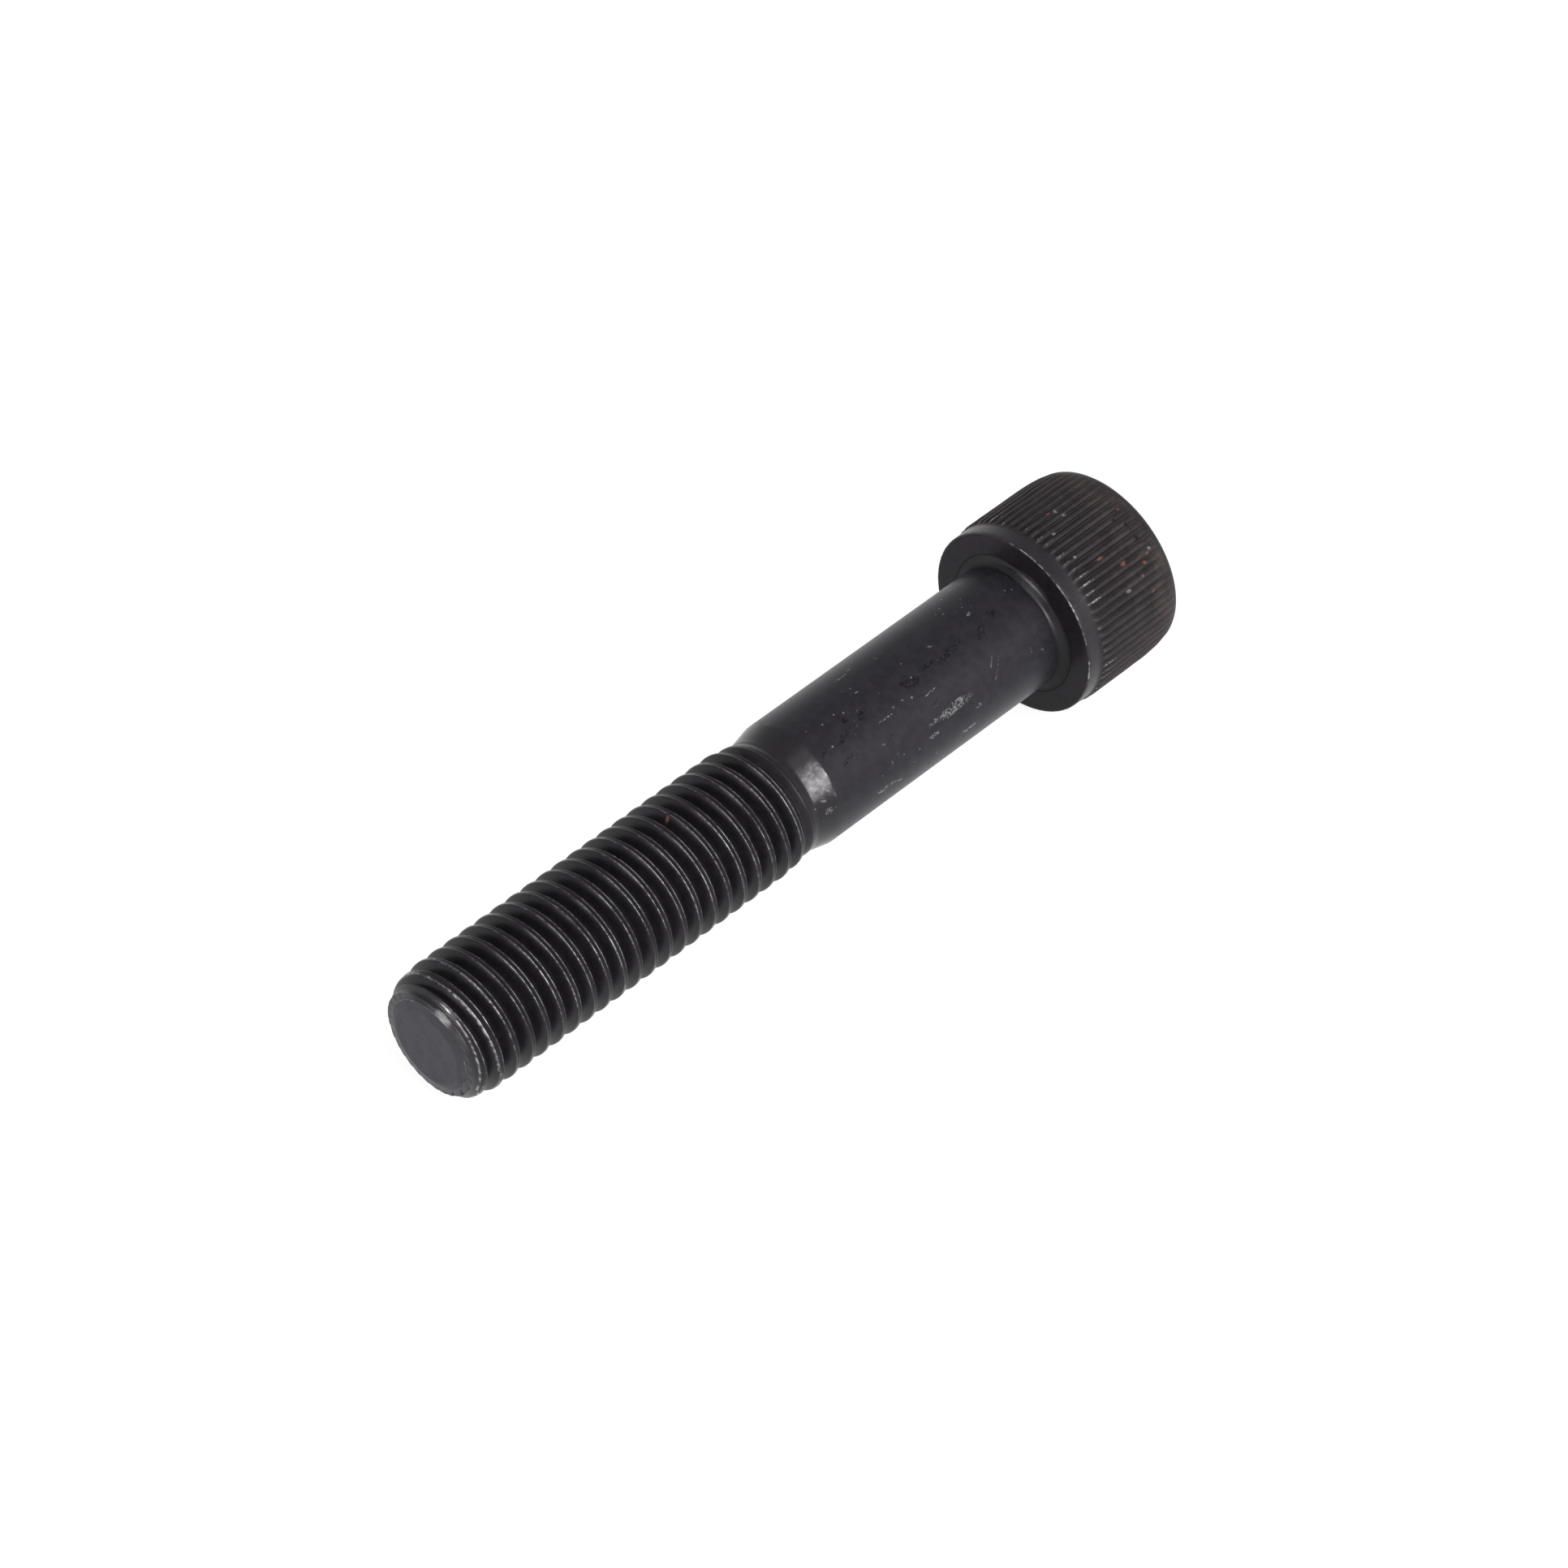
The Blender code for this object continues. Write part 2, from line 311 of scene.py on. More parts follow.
def thread_point(x, off, phi):
    """Radius and wear, with painted highlights and shade, where x is a place on the axis and the crest's
    middle is off steps away.
    """
    side = abs(off)
    along = x - THREAD_START
    lead = lead_radius(x)
    widened = side - 0.6 * (CREST_RADIUS - lead) * math.tan(FLANK) / STEP
    full = smooth(CREST_FROM, CREST_FULL, along)

    # The crest has two lips with a seam between them on two sides of the screw, and is round elsewhere.
    parted = max(towards(phi, 128, 75), towards(phi, 308, 75)) ** 0.6
    fold = (1 - smooth(1, 12, widened)) * parted * full
    seam = SEAM_DEPTH * fold * (1 + 0.3 * bumps(x, phi, 0.8, 2.6))
    flank = CREST_RADIUS - (side - CREST_EDGE) * STEP / math.tan(FLANK)
    radius = soft_min(flank, lead - seam, BLEND + 0.05 * (1 - parted))
    radius = -soft_min(-radius, -ROOT_RADIUS)

    # Over the run-out it all comes to the neck's radius.
    share = min(max((THREAD_END - x) / RUNOUT, 0), 1)
    radius = NECK_RADIUS + (radius - NECK_RADIUS) * share

    # Small waves on the lips, torn near the tip, and the burr on the first crest.
    ragged = 1 - smooth(RAGGED_FROM, RAGGED_TO, x) if off < 0 else 0
    lips = parted * (1 - smooth(1, 6 + 7 * ragged, abs(widened - LIP_AT)))
    lips += (1 - parted) * 0.7 * (1 - smooth(2, 11, widened))
    burred = (1 - smooth(0.02, 0.09, abs(along - BURR_ALONG))) * (1 - smooth(16, 26, side))
    burred *= smooth(0.0, 0.35, bumps(x, phi, 1.3, 0.7) + 0.45)
    chatter = 0.004 * bumps(x, phi, 1.4, 3.1) + 0.003 * bumps(x, phi, 0.5, 7.7)
    burr = 0.06 * bumps(x, phi, 0.6, 1.3) + 0.04 * bumps(x, phi, 0.25, 9.2)
    radius += ((chatter + ragged * burr) * lips * full + burred * (0.03 + burr)) * smooth(0, 0.3, along)

    # Lips and burr are rubbed. One side of the chamfer is made bare where the front lamp's highlight falls,
    # a painted highlight, and its other side is darkened, painted shade. The seam is darkened, painted
    # shade.
    worn_and_lit = 0.62 + 0.45 * bumps(x, phi, 3.1, 5.5) + 0.25 * bumps(x, phi, 0.7, 2.5)
    worn_and_lit += ragged * (0.2 + 0.9 * bumps(x, phi, 0.45, 6.2))
    worn_and_lit += ragged * (0.6 * towards(phi, 74, 9) + 0.4 * towards(phi, 131, 20))
    # Bare where the front lamp's highlight falls on the chamfer, a painted highlight, and darkened round 80
    # degrees, painted shade.
    chamfer_highlight_and_shade = 0.85 * towards(phi, 112, 19) - 0.8 * towards(phi, 80, 24)
    chamfer_highlight_and_shade *= 1 - smooth(0.1, 0.5, along)
    worn_and_lit = lips * worn_and_lit * full * smooth(0.05, 0.6, share) + chamfer_highlight_and_shade
    # The burr is brighter towards 112 degrees, a painted highlight.
    worn_and_lit += burred * (0.6 + 0.8 * bumps(x, phi, 0.45, 4.1) + 0.4 * towards(phi, 112, 12))
    # The seam is made dark through negative wear, painted shade.
    return radius, worn_and_lit - fold * (1 - 0.7 * smooth(0.4, 0, share))


def thread(surface):
    """The helical surface. Each row follows the helix for one turn, clamped between two rings."""
    total = round((THREAD_END - THREAD_START) / STEP)
    rows = {}
    for turn in range(-2, total // SIDES + 2):
        for station in TIP_STATIONS if turn < 1 else STATIONS:
            row = []
            for i in range(SIDES):
                steps = CREST_AT_START + turn * SIDES + station + i
                steps = min(max(steps, 0), total)
                x = THREAD_START + steps * STEP
                off = (steps - CREST_AT_START - i + SIDES / 2) % SIDES - SIDES / 2
                phi = 2 * math.pi * i / SIDES
                radius, worn_and_lit = thread_point(x, off, phi)
                if steps == 0:
                    radius = BEVEL_RADIUS
                row.append(surface.point(x, radius * math.cos(phi), radius * math.sin(phi), worn_and_lit))
            rows[turn * SIDES + station] = row
    starts = sorted(rows)
    first, last = starts[0], starts[-1]
    for near, far in zip(starts, starts[1:]):
        if far + SIDES <= last:
            for i in range(SIDES - 1):
                surface.finish = "chamfer" if rows[near][i].co.x < CHAMFER_END * MM else "thread"
                surface.face(rows[near][i], rows[far][i], rows[far][i + 1], rows[near][i + 1])
        if near - SIDES >= first:
            behind = [rows[s][-1] for s in starts if near - SIDES <= s <= far - SIDES]
            surface.face(*behind, rows[far][0], rows[near][0])
    return rows[first], rows[last]


def tip(surface, bevel):
    """The end face, sheared flat and a little off centre, with its soft bevel."""
    shift = (FACE_SHIFT * math.cos(FACE_SHIFT_PHI), FACE_SHIFT * math.sin(FACE_SHIFT_PHI))
    surface.finish = "tip_face"
    middle = surface.point(TIP + FACE_DISH, *shift)
    last = None
    for share in (0.2, 0.4, 0.6, 0.8, 0.92, 0.985):
        dip = FACE_DISH * (1 - share * share)
        ring = surface.ring(
            lambda phi: TIP + dip + 0.006 * bumps(share * 5, phi, 1.5, 2.2, 4 * share),
            FACE_RADIUS * share, centre=shift,
        )
        if last:
            surface.join(last, ring)
        else:
            surface.fan(middle, ring)
        last = ring
    last = surface.extend(
        last, lambda phi: TIP + EDGE_ROUND + 0.012 * bumps(0, phi, 0.7, 4.4), FACE_RADIUS,
        wear=0.25, centre=shift,
    )
    last = surface.extend(
        last, TIP + 0.06, (FACE_RADIUS + BEVEL_RADIUS) / 2, centre=(shift[0] / 2, shift[1] / 2)
    )
    for inwards, x, worn_and_lit in ((0.11, 0.115, 0.0), (0.05, 0.13, 0.7)):
        last = surface.extend(
            last, TIP + x, BEVEL_RADIUS - inwards, wear=lambda phi: worn_and_lit * (0.6 + bumps(0, phi, 0.9, 3.7))
        )
    surface.join(last, bevel)


# ---- the shank


def shank(surface, last):
    """The cone up from the neck, the plain shank and the fillet under the head."""

    def edge_wear_and_highlight(phi):
        # Worn all round, and more where the side lamp's highlight falls, a painted highlight.
        return 0.08 + 0.33 * towards(phi, 134, 28) + 0.7 * bumps(0, phi, 0.9, 6.6)

    def fillet_highlight_and_shade(phi):
        # Bare round 110 degrees, a painted highlight, and darkened away from there, painted shade.
        return 0.30 * plateau(phi, 110, 38) + 0.8 * towards(phi, 112, 85) - 0.8

    surface.finish = "cone"
    for k in range(CONE_RINGS):
        x = CONE_START + (SHANK_END - CONE_START) * k / CONE_RINGS
        radius = NECK_RADIUS + (SHANK_RADIUS - NECK_RADIUS) * (x - CONE_START) / (SHANK_END - CONE_START)
        # The cone is made partly bare where the side lamp's highlight falls on it, a painted highlight.
        last = surface.extend(
            last, x, lambda phi: radius + 0.006 * bumps(x, phi, 1.2, 8.8),
            wear=lambda phi: 0.35 * plateau(phi, 136, 28),
        )
    last = surface.extend(
        last, lambda phi: SHANK_END + 0.03 * bumps(0, phi, 1.1, 6.1), SHANK_RADIUS, wear=edge_wear_and_highlight
    )
    surface.finish = "shank"
    x = SHANK_END + 0.12
    while x < -FILLET - 0.05:
        last = surface.extend(last, x, lambda phi: SHANK_RADIUS + 0.007 * bumps(x, phi, 1.7, 4.0))
        x += SHANK_STEP
    surface.finish = "fillet"
    for k in range(FILLET_STEPS + 1):
        angle = math.pi / 2 * k / FILLET_STEPS
        x = FILLET * (math.sin(angle) - 1)
        last = surface.extend(last, x, SHANK_RADIUS + FILLET * (1 - math.cos(angle)), wear=fillet_highlight_and_shade)
    return last


# ---- the head


def ridge_share(phi):
    """The place across one ridge, 0 and 1 in the grooves beside it and 0.5 on its middle."""
    return (phi / (2 * math.pi) * RIDGES + RIDGE_PHASE + 0.04 * head_bumps(0, phi, 1.0, 2.0)) % 1


def lesser_rise(x):
    """A lesser ridge fills each groove, except near the band, where the roll ran out."""
    return smooth(2.2, 3.6, x)


def knurl_radius(x, outer, depth):
    lesser = 0.8 * lesser_rise(x)

    def radius(phi):
        side = abs(ridge_share(phi) - 0.5) * 2
        height = 1 - smooth(0.15, 0.62, side) + lesser * smooth(0.72, 1.0, side)
        uneven = 0.022 * head_bumps(x, phi, 1.3, 3.3) + 0.014 * head_bumps(x * 0.5, phi, 0.5, 1.2)
        return outer - depth * (1 - height) + uneven * depth / GROOVE_DEPTH
    return radius


def knurl_wear_glint_and_shade(x, depth, worn_and_lit):
    """The ridges' ends are rubbed beside the band, with painted glints at two angles, and the grooves are
    darkened, painted shade.
    """

    def wear(phi):
        side = abs(ridge_share(phi) - 0.5) * 2
        # Brighter towards 139 and 184 degrees, painted glints.
        worn_and_highlit = 0.22 + 0.2 * max(towards(phi, 139, 16), towards(phi, 184, 12))
        top = worn_and_highlit + 0.4 * head_bumps(0, phi, 1.2, 6.0) + 0.3 * head_bumps(x, phi, 0.5, 2.0)
        # The grooves are darkened through negative wear, painted shade.
        groove = smooth(0.45, 0.7, side) * (1 - smooth(0.8, 1.0, side) * lesser_rise(x))
        return worn_and_lit * top * (1 - smooth(0.1, 0.45, side)) - 0.8 * groove * depth / GROOVE_DEPTH
    return wear


def head(surface, last):
    """The bearing face, the plain band, the knurl and the top, up to the socket's mouth."""

    def nick(phi):
        return 0.08 * towards(phi, 135.0, 2.5) + 0.012 * head_bumps(0, phi, 0.5, 1.0)

    def rim_wear_and_highlight(phi):
        # More worn towards 124 degrees, a painted highlight, and a real nick at 135.5 degrees.
        worn_and_highlit = 0.28 + 0.32 * towards(phi, 124, 50) + 1.3 * towards(phi, 135.5, 2)
        return worn_and_highlit + 0.5 * head_bumps(0, phi, 1.6, 7.0) + 0.6 * head_bumps(0, phi, 0.4, 3.0)

    surface.finish = "bearing_face"
    last = surface.extend(last, -0.012, 6.95)
    for radius, sides in ((7.4, SIDES), (8.1, HEAD_SIDES), (8.55, HEAD_SIDES)):
        last = surface.extend(last, lambda phi: 0.006 * bumps(radius, phi, 1.0), radius, sides)
    for x, radius, worn_and_lit in RIM:
        last = surface.extend(
            last, x, lambda phi: radius + nick(phi) * worn_and_lit, HEAD_SIDES, lambda phi: worn_and_lit * rim_wear_and_highlight(phi)
        )
        surface.finish = "band"  # the rim's first ring still closes the bearing face
    for x in (0.5, 1.0, BAND_END):
        last = surface.extend(last, x, BAND_RADIUS, HEAD_SIDES)
    surface.finish = "knurl"
    for x, outer, depth, worn_and_lit in KNURL:
        last = surface.extend(
            last, x, knurl_radius(x, outer, depth), HEAD_SIDES, knurl_wear_glint_and_shade(x, depth, worn_and_lit)
        )
    surface.finish = "top"
    for k in range(1, TOP_EDGE_STEPS + 1):
        angle = math.pi / 2 * k / TOP_EDGE_STEPS
        x = TOP_EDGE_START + (HEAD_HEIGHT - TOP_EDGE_START) * math.sin(angle)
        radius = TOP_FACE_RADIUS + (TOP_EDGE_RADIUS - TOP_FACE_RADIUS) * math.cos(angle)
        last = surface.extend(last, x, radius)
    for radius in (7.5, 6.6):
        last = surface.extend(last, HEAD_HEIGHT, radius)
    return last


def socket(surface, last):
    """A hexagon with a flat on its +Z side, a chamfered mouth and a shallow cone for a floor."""
    rim = HEAD_HEIGHT - MOUTH_BREAK
    floor = HEAD_HEIGHT - SOCKET_DEPTH

    def across(phi):
        return SOCKET_FLAT / math.cos((phi % (math.pi / 3)) - math.pi / 6)

    last = surface.extend(last, HEAD_HEIGHT, MOUTH_RADIUS + MOUTH_BREAK, wear=0.4)
    surface.finish = "socket"
    last = surface.extend(last, rim, MOUTH_RADIUS, wear=0.45)
    for share in (0.5, 1.0):
        last = surface.extend(
            last, lambda phi: rim - share * (MOUTH_RADIUS - across(phi)) * MOUTH_SLOPE,
            lambda phi: MOUTH_RADIUS + share * (across(phi) - MOUTH_RADIUS), wear=0.25 * share,
        )
    for level in (10.4, 9.4, 8.2, 7.0, 6.2, floor):
        last = surface.extend(last, level, across)
    for share in (0.93, 0.8, 0.6, 0.4, 0.2):
        last = surface.extend(last, floor - FLOOR_DROP * (1 - share), lambda phi: share * across(phi))
    surface.fan(surface.point(floor - FLOOR_DROP, 0, 0), last)


# ---- materials


class Tree:
    """A short way to write a node tree."""

    def __init__(self, tree):
        self.tree = tree

    def add(self, kind, **settings):
        node = self.tree.nodes.new(kind)
        for key, value in settings.items():
            setattr(node, key, value)
        return node

    def link(self, source, target):
        self.tree.links.new(source, target)

    def put(self, value, target):
        if isinstance(value, bpy.types.NodeSocket):
            self.link(value, target)
        elif isinstance(value, tuple) and target.type == "RGBA":
            target.default_value = (*value, 1)
        else:
            target.default_value = value

    def math(self, operation, *values, clamp=False):
        node = self.add("ShaderNodeMath", operation=operation, use_clamp=clamp)
        for value, target in zip(values, node.inputs):
            self.put(value, target)
        return node.outputs[0]

    def step(self, value, low, high):
        node = self.add("ShaderNodeMapRange", interpolation_type="SMOOTHSTEP")
        self.put(value, node.inputs["Value"])
        node.inputs["From Min"].default_value = low
        node.inputs["From Max"].default_value = high
        return node.outputs["Result"]

    def range(self, value, low, high, to_low, to_high):
        node = self.add("ShaderNodeMapRange")
        self.put(value, node.inputs["Value"])
        node.inputs["From Min"].default_value = low
        node.inputs["From Max"].default_value = high
        node.inputs["To Min"].default_value = to_low
        node.inputs["To Max"].default_value = to_high
        return node.outputs["Result"]


class Finish(Tree):
    """A material with the screw's own coordinates in millimetres."""

    def __init__(self, name):
        self.material = bpy.data.materials.new(name)
        self.material.use_nodes = True
        super().__init__(self.material.node_tree)
        self.shader = self.tree.nodes["Principled BSDF"]
        place = self.add("ShaderNodeTexCoord").outputs["Object"]
        scale = self.add("ShaderNodeVectorMath", operation="SCALE")
        self.link(place, scale.inputs[0])
        scale.inputs["Scale"].default_value = 1 / MM
        self.place = scale.outputs[0]
        split = self.add("ShaderNodeSeparateXYZ")
        self.link(self.place, split.inputs[0])
        self.x = split.outputs["X"]
        self.phi = self.math("ARCTAN2", split.outputs["Z"], split.outputs["Y"])

    def noise(self, scale, detail, rough, stretch=(1, 1, 1), shift=0.0):
        """Noise from 0 to 1. The scale is in lumps per millimetre."""
        mapping = self.add("ShaderNodeMapping")
        self.link(self.place, mapping.inputs["Vector"])
        mapping.inputs["Scale"].default_value = stretch
        mapping.inputs["Location"].default_value = (shift, shift * 1.7, shift * 0.6)
        node = self.add("ShaderNodeTexNoise")
        self.link(mapping.outputs[0], node.inputs["Vector"])
        node.inputs["Scale"].default_value = scale
        node.inputs["Detail"].default_value = detail
        node.inputs["Roughness"].default_value = rough
        return node.outputs["Fac"]

    def mix(self, share, first, second):
        """Of two colours."""
        node = self.add("ShaderNodeMix", data_type="RGBA")
        self.put(share, node.inputs["Factor"])
        self.put(first, node.inputs[6])
        self.put(second, node.inputs[7])
        return node.outputs[2]

    def blend(self, share, first, second):
        """Of two numbers."""
        node = self.add("ShaderNodeMix", data_type="FLOAT")
        self.put(share, node.inputs[0])
        self.put(first, node.inputs[2])
        self.put(second, node.inputs[3])
        return node.outputs[0]

    def marks(self, places, radius, ragged):
        """1 inside the marks and 0 outside them, with edges made ragged by a noise."""
        total = 0.0
        for x, phi, half_length, half_width, lean in places:
            along = self.math("SUBTRACT", self.x, x)
            turn = self.math("WRAP", self.math("SUBTRACT", self.phi, math.radians(phi)), math.pi, -math.pi)
            across = self.math("SUBTRACT", self.math("MULTIPLY", turn, radius),
                               self.math("MULTIPLY", along, lean))
            away = self.math("ADD", self.math("POWER", self.math("DIVIDE", along, half_length), 2.0),
                             self.math("POWER", self.math("DIVIDE", across, half_width), 2.0))
            away = self.math("ADD", away, self.math("MULTIPLY", self.math("SUBTRACT", ragged, 0.5), 2.5))
            total = self.math("MAXIMUM", total, self.step(away, 1.1, 0.2))
        return total

    # The wear attribute: real wear and dirt, and also painted highlights where it is high and painted shade
    # where it is negative.
    def wear(self):
        return self.add("ShaderNodeAttribute", attribute_name="wear").outputs["Fac"]

    def bump(self, height, strength, distance):
        node = self.add("ShaderNodeBump")
        node.inputs["Strength"].default_value = strength
        node.inputs["Distance"].default_value = distance * MM
        self.link(height, node.inputs["Height"])
        return node.outputs[0]


def oxide(name, dark, light, rough, level=0.22, grain=1.1, relief=0.004, spread=0.055, wear_share=0.6,
          beads=0.35, bead_size=2.4, radius=6.0, scrapes=(), flecks=(), pits=(), rust=(), specks=0.0,
          dust=0.0):
    """Black oxide: two near-black tones in soft clouds, fine grain, dirt and painted shade in the low
    places and on some sides, steel where edges rub bare and as painted highlights, and the marks that are
    listed at the top.

    rough is the middle of the roughness and spread its range, level the specular level, grain the
    clouds' lumps per millimetre and relief the bump's depth. wear_share is how bare the worn places
    get, and beads and bead_size say how broken their shine is. radius is the surface's own.
    """
    n = Finish("oxide_" + name)
    clouds = n.noise(grain, 4, 0.6)
    fine = n.noise(grain * 6, 3, 0.6, shift=4)
    coarse = n.noise(2.4, 2, 0.6, shift=9)
    tone = n.step(n.math("ADD", n.math("MULTIPLY", clouds, 0.7), n.math("MULTIPLY", fine, 0.3)), 0.35, 0.65)
    colour = n.mix(tone, dark, light)
    roughness = n.range(fine, 0.3, 0.7, rough - spread, rough + spread)
    height = fine
    if dust:
        patches = n.step(n.noise(0.5, 4, 0.6, shift=3), 0.3, 0.7)
        share = n.math("MULTIPLY", n.range(n.x, 2.5, 9.5, 0.15, 1.0), patches)
        share = n.math("MULTIPLY", share, n.range(n.noise(3.2, 3, 0.65, shift=14), 0.3, 0.7, 0.4, 1.6))
        share = n.math("MULTIPLY", share, dust, clamp=True)
        colour = n.mix(share, colour, DUST)
        roughness = n.blend(share, roughness, DUSTY_ROUGH)
    wear = n.wear()
    # Negative wear is painted near-black: dirt, and painted shade where the wear functions put it.
    dirt_and_shade = n.math("MULTIPLY", wear, -1.0, clamp=True)
    colour = n.mix(dirt_and_shade, colour, DIRT_AND_SHADE)
    roughness = n.blend(dirt_and_shade, roughness, DIRT_AND_SHADE_ROUGH)
    if pits:
        fleck = n.noise(4.6, 2, 0.6, stretch=(0.7, 1, 1), shift=6)
        pit = n.math("MULTIPLY", n.marks(pits, radius, coarse), n.step(fleck, 0.42, 0.54))
        colour = n.mix(pit, colour, PIT)
        roughness = n.blend(pit, roughness, DUSTY_ROUGH)
        height = n.math("SUBTRACT", height, n.math("MULTIPLY", pit, 0.8))
    bead = n.noise(bead_size, 2, 0.6, shift=9)
    # High wear becomes bare steel: real wear, and painted highlights where the wear functions put them.
    broken = n.math("MULTIPLY", wear, n.range(bead, 0.3, 0.7, 0.95 - beads, 0.95 + beads))
    bare_and_highlight = n.math("MULTIPLY", n.step(broken, 0.15, 0.9), wear_share, clamp=True)
    if scrapes:
        fleck = n.noise(6.0, 1, 0.5, shift=2)
        scrape = n.math("MULTIPLY", n.marks(scrapes, radius, coarse), n.step(fleck, 0.42, 0.62))
        bare_and_highlight = n.math("MAXIMUM", bare_and_highlight, n.math("MULTIPLY", scrape, SCRAPE_BARE))
    if flecks:
        fleck = n.marks(flecks, radius, coarse)
        bare_and_highlight = n.math("MAXIMUM", bare_and_highlight, n.math("MULTIPLY", fleck, FLECK_BARE))
    if specks:
        cluster = n.step(n.noise(0.16, 2, 0.5, shift=5), 0.5, 0.62)
        speck = n.step(n.noise(2.2, 1, 0.5, shift=12), 0.71, 0.77)
        bare_and_highlight = n.math("MAXIMUM", bare_and_highlight, n.math("MULTIPLY", n.math("MULTIPLY", speck, cluster), specks))
    colour = n.mix(bare_and_highlight, colour, BARE_STEEL_AND_HIGHLIGHT)
    roughness = n.blend(bare_and_highlight, roughness, BARE_ROUGH)
    metallic = bare_and_highlight
    if rust:
        spot = n.marks(rust, radius, coarse)
        colour = n.mix(spot, colour, RUST)
        roughness = n.blend(spot, roughness, DIRT_AND_SHADE_ROUGH)
        metallic = n.math("MULTIPLY", bare_and_highlight, n.math("SUBTRACT", 1.0, spot))
    n.put(colour, n.shader.inputs["Base Color"])
    n.put(roughness, n.shader.inputs["Roughness"])
    n.put(metallic, n.shader.inputs["Metallic"])
    n.put(n.bump(height, 0.6, relief), n.shader.inputs["Normal"])
    n.shader.inputs["Specular IOR Level"].default_value = level
    n.shader.inputs["Specular Tint"].default_value = (*SPECULAR_TINT, 1)
    return n.material


def materials():
    """One for each of the finishes, in their order."""
    return [
        oxide("tip_face", (0.0172, 0.0172, 0.0222), (0.0268, 0.0266, 0.0338), rough=0.5, level=0.26,
              grain=0.6, relief=0.006),
        oxide("thread", (0.0072, 0.0065, 0.0075), (0.0117, 0.0106, 0.0120), rough=0.33, level=0.2,
              beads=0.5, bead_size=3.0, rust=THREAD_RUST),
        oxide("cone", (0.0062, 0.0058, 0.0064), (0.0090, 0.0085, 0.0094), rough=0.24, level=0.30,
              grain=0.8, relief=0.0008, spread=0.02, scrapes=CONE_SCRAPES, specks=0.3),
        oxide("shank", (0.0088, 0.0084, 0.0108), (0.0148, 0.0140, 0.0182), rough=0.37, level=0.168,
              relief=0.008, scrapes=SHANK_SCRAPES, flecks=SHANK_FLECKS, pits=SHANK_PITS, specks=0.28),
        oxide("band", (0.0083, 0.0075, 0.0088), (0.0123, 0.0113, 0.0130), rough=0.36, level=0.27),
        oxide("knurl", (0.0092, 0.0078, 0.0086), (0.0163, 0.0140, 0.0152), rough=0.44, level=0.18,
              beads=0.8, bead_size=5.0, radius=9.1, flecks=KNURL_FLECKS, pits=KNURL_PITS,
              rust=KNURL_RUST, dust=0.75),
        oxide("top", (0.010, 0.0095, 0.011), (0.015, 0.0138, 0.0145), rough=0.42),
        oxide("socket", (0.009, 0.0086, 0.010), (0.015, 0.0138, 0.0145), rough=0.40),
        oxide("bearing_face", (0.0095, 0.0082, 0.0098), (0.0138, 0.0121, 0.0140), rough=0.36,
              level=0.085),
        oxide("fillet", (0.0065, 0.006, 0.0072), (0.0095, 0.009, 0.0103), rough=0.24, level=0.26,
              relief=0.001, beads=0.1),
        oxide("chamfer", (0.0085, 0.0080, 0.0094), (0.0110, 0.0105, 0.0122), rough=0.30, level=0.34,
              relief=0.0006, spread=0.015, wear_share=0.75, beads=0.2),
    ]


# ---- the screw


def make_screw():
    surface = Surface()
    bevel, neck = thread(surface)
    tip(surface, bevel)
    socket(surface, head(surface, shank(surface, neck)))
    shape = surface.mesh
    bmesh.ops.remove_doubles(shape, verts=shape.verts, dist=0.0005 * MM)
    loose = [vertex for vertex in shape.verts if not vertex.link_faces]
    bmesh.ops.delete(shape, geom=loose, context="VERTS")
    bmesh.ops.recalc_face_normals(shape, faces=shape.faces)
    mesh = bpy.data.meshes.new("screw")
    shape.to_mesh(mesh)
    shape.free()
    for material in materials():
        mesh.materials.append(material)
    mesh.shade_smooth()
    mesh.set_sharp_from_angle(angle=math.radians(40))
    screw = bpy.data.objects.new("screw", mesh)
    bpy.context.scene.collection.objects.link(screw)
    return screw


# ---- the studio


def make_floor():
    """A pale table that tilts a little, since the screw lies on its knurl and its last crest."""
    low, high = Vector(KNURL_REST), Vector(CREST_REST)
    tilt = math.atan2(high.z - low.z, low.x - high.x)
    mesh = bpy.data.meshes.new("floor")
    size = FLOOR_HALF * MM
    corners = [(-size, -size, 0), (size, -size, 0), (size, size, 0), (-size, size, 0)]
    mesh.from_pydata(corners, [], [(0, 1, 2, 3)])
    floor = bpy.data.objects.new("floor", mesh)
    floor.matrix_world = Matrix.Translation(low * MM) @ Matrix.Rotation(tilt, 4, "Y")
    material = bpy.data.materials.new("pale_table")
    material.use_nodes = True
    shader = material.node_tree.nodes["Principled BSDF"]
    shader.inputs["Base Color"].default_value = (0.2, 0.2, 0.2, 1)
    shader.inputs["Roughness"].default_value = 0.9
    shader.inputs["Specular IOR Level"].default_value = 0.0
    shader.inputs["Emission Color"].default_value = (1, 1, 1, 1)
    shader.inputs["Emission Strength"].default_value = 0.88
    mesh.materials.append(material)
    bpy.context.scene.collection.objects.link(floor)
    return floor


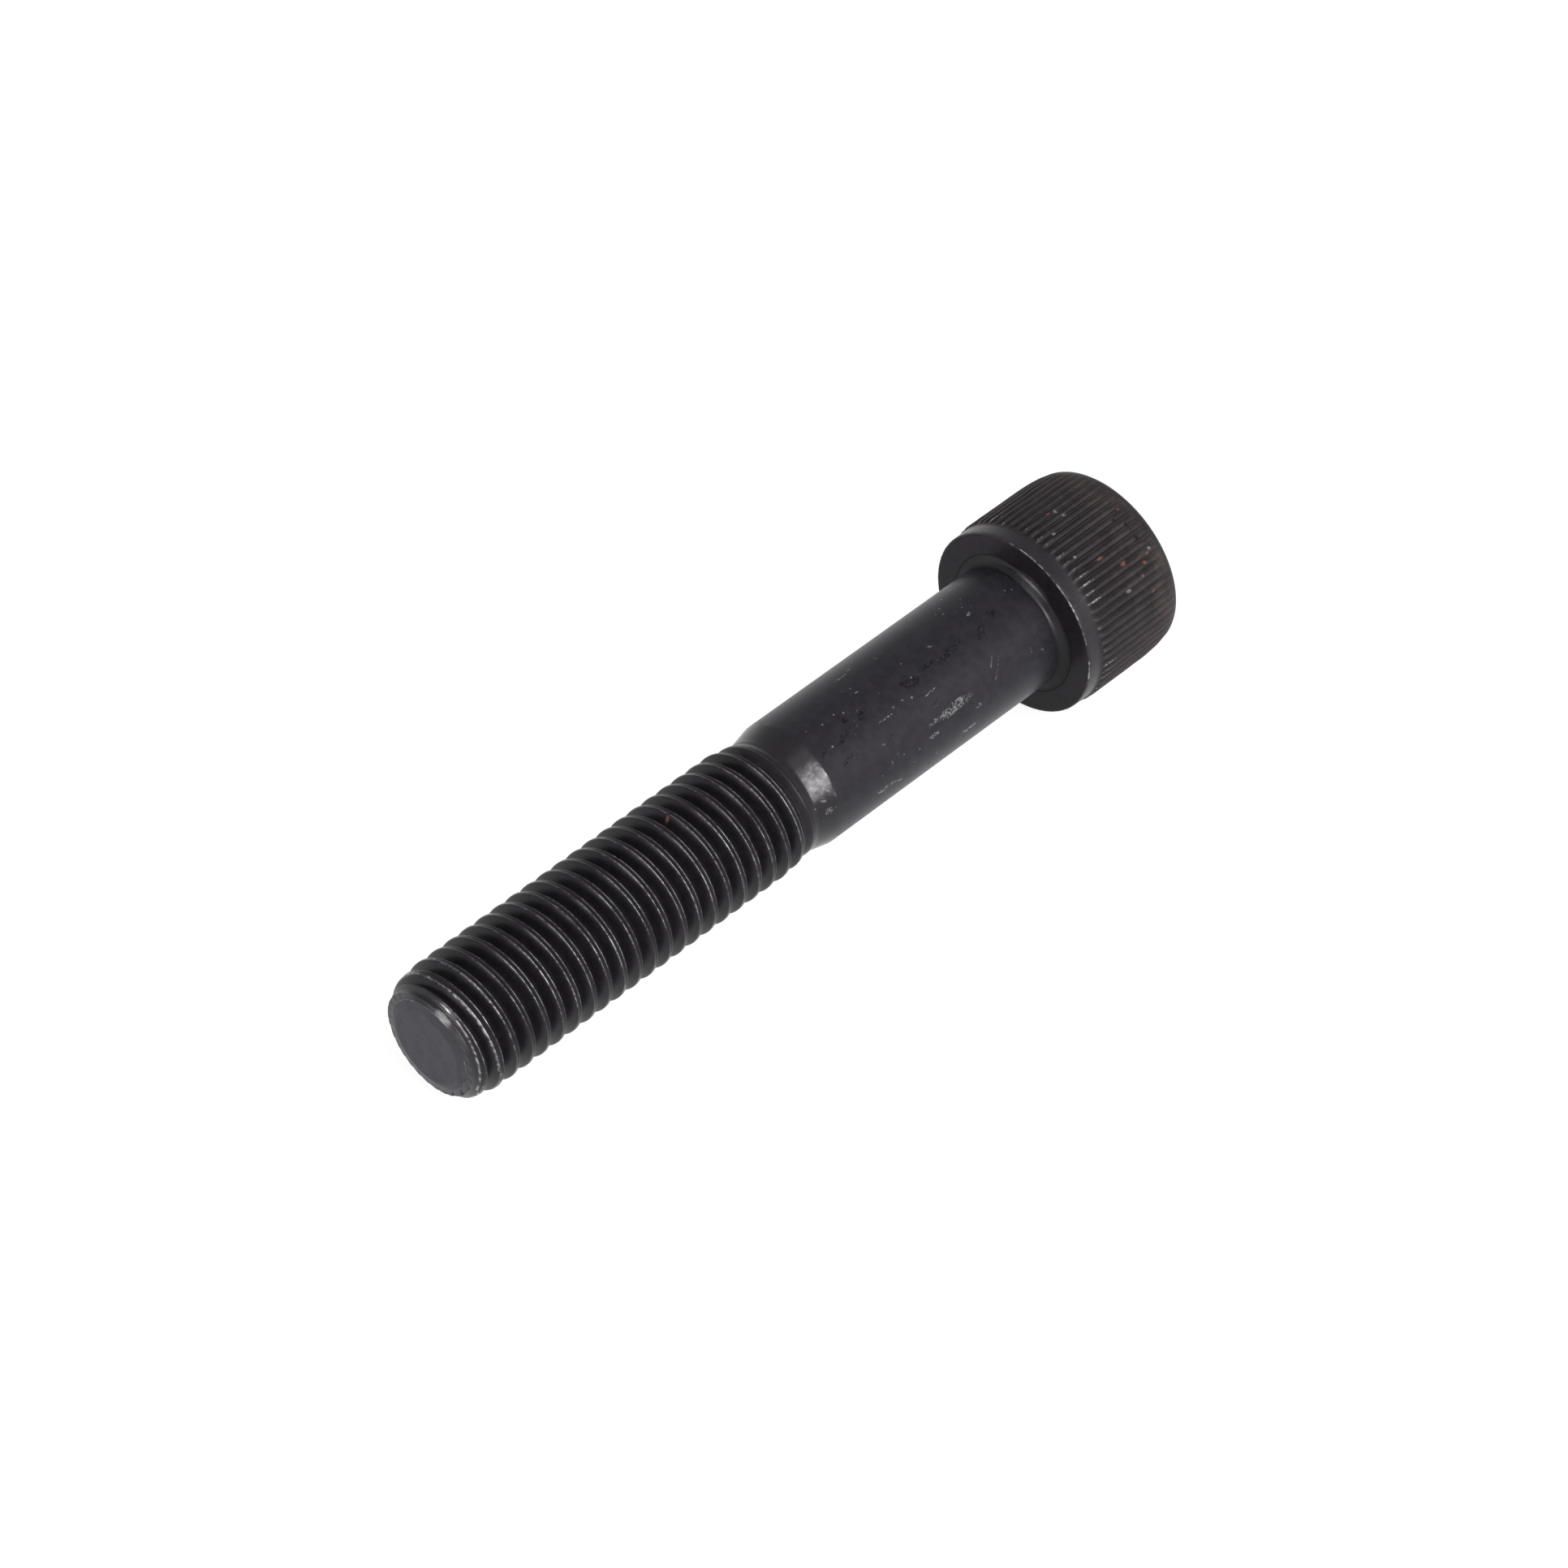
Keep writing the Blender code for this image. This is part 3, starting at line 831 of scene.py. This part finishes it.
def make_world():
    """A white room with a dimmer ceiling, a bright wall at -Y, two soft lamps and a shaded corner."""
    world = bpy.data.worlds.new("room")
    world.use_nodes = True
    bpy.context.scene.world = world
    n = Tree(world.node_tree)
    split = n.add("ShaderNodeSeparateXYZ")
    n.link(n.add("ShaderNodeTexCoord").outputs["Generated"], split.inputs[0])
    x, y, z = split.outputs

    def window(value, low, high, soft):
        rise = n.step(value, low - soft, low + soft)
        fall = n.step(value, high + soft, high - soft)
        return n.math("MULTIPLY", rise, fall)

    # The room's own light, with a glow that hides the horizon
    ceiling = n.range(z, 0.0, 0.5, 0.95, 0.62)
    horizon = n.math("MULTIPLY", n.step(z, 0.22, 0.06), HORIZON_LEVEL)
    wall = n.math("MULTIPLY", n.step(y, -0.38, -0.6), WALL_LEVEL)

    # The lamp at -Y, brighter in its middle, with a weak halo above it
    side = n.math("MULTIPLY", window(x, -0.12, 0.32, 0.09), window(z, 0.22, 0.78, 0.16))
    core = n.math("MULTIPLY", window(z, 0.38, 0.58, 0.1), SIDE_LAMP_CORE)
    side = n.math("MULTIPLY", side, n.math("ADD", core, SIDE_LAMP))
    side = n.math("MULTIPLY", side, n.step(y, -0.1, -0.4))
    halo = n.math("MULTIPLY", window(x, -0.1, 0.28, 0.12), window(z, 0.8, 1.1, 0.1))
    halo = n.math("MULTIPLY", halo, n.math("MULTIPLY", n.step(y, 0.1, -0.15), HALO_LEVEL))
    side = n.math("ADD", side, halo)

    # The lamp at -X, and the shaded corner beside it
    front = n.math("MULTIPLY", window(y, -0.02, 0.26, 0.08), window(z, 0.08, 0.48, 0.08))
    front = n.math("MULTIPLY", front, n.math("MULTIPLY", n.step(x, -0.3, -0.6), FRONT_LAMP))
    corner = n.math("MULTIPLY", window(y, 0.36, 0.75, 0.14), window(z, 0.22, 0.48, 0.09))
    corner = n.math("MULTIPLY", corner, n.math("MULTIPLY", n.step(x, -0.3, -0.5), CORNER_SHADE))

    level = n.math("SUBTRACT", n.math("ADD", n.math("ADD", ceiling, horizon), wall), corner)
    level = n.math("ADD", level, n.math("ADD", side, front))
    background = n.tree.nodes["Background"]
    background.inputs["Color"].default_value = (*ROOM_TINT, 1)
    n.link(level, background.inputs["Strength"])


def make_camera():
    data = bpy.data.cameras.new("camera")
    data.lens = LENS
    data.sensor_width = SENSOR_WIDTH
    data.clip_start = 0.01
    camera = bpy.data.objects.new("camera", data)
    right, up = Vector(CAMERA_RIGHT), Vector(CAMERA_UP)
    turned = Matrix((right, up, right.cross(up))).transposed().to_4x4()
    camera.matrix_world = Matrix.Translation(CAMERA_PLACE) @ turned
    bpy.context.scene.collection.objects.link(camera)
    bpy.context.scene.camera = camera


bpy.context.scene.view_settings.view_transform = "Standard"
make_camera()
make_world()
make_floor()

screw = make_screw()
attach(screw, "root")
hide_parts("cap_screw")
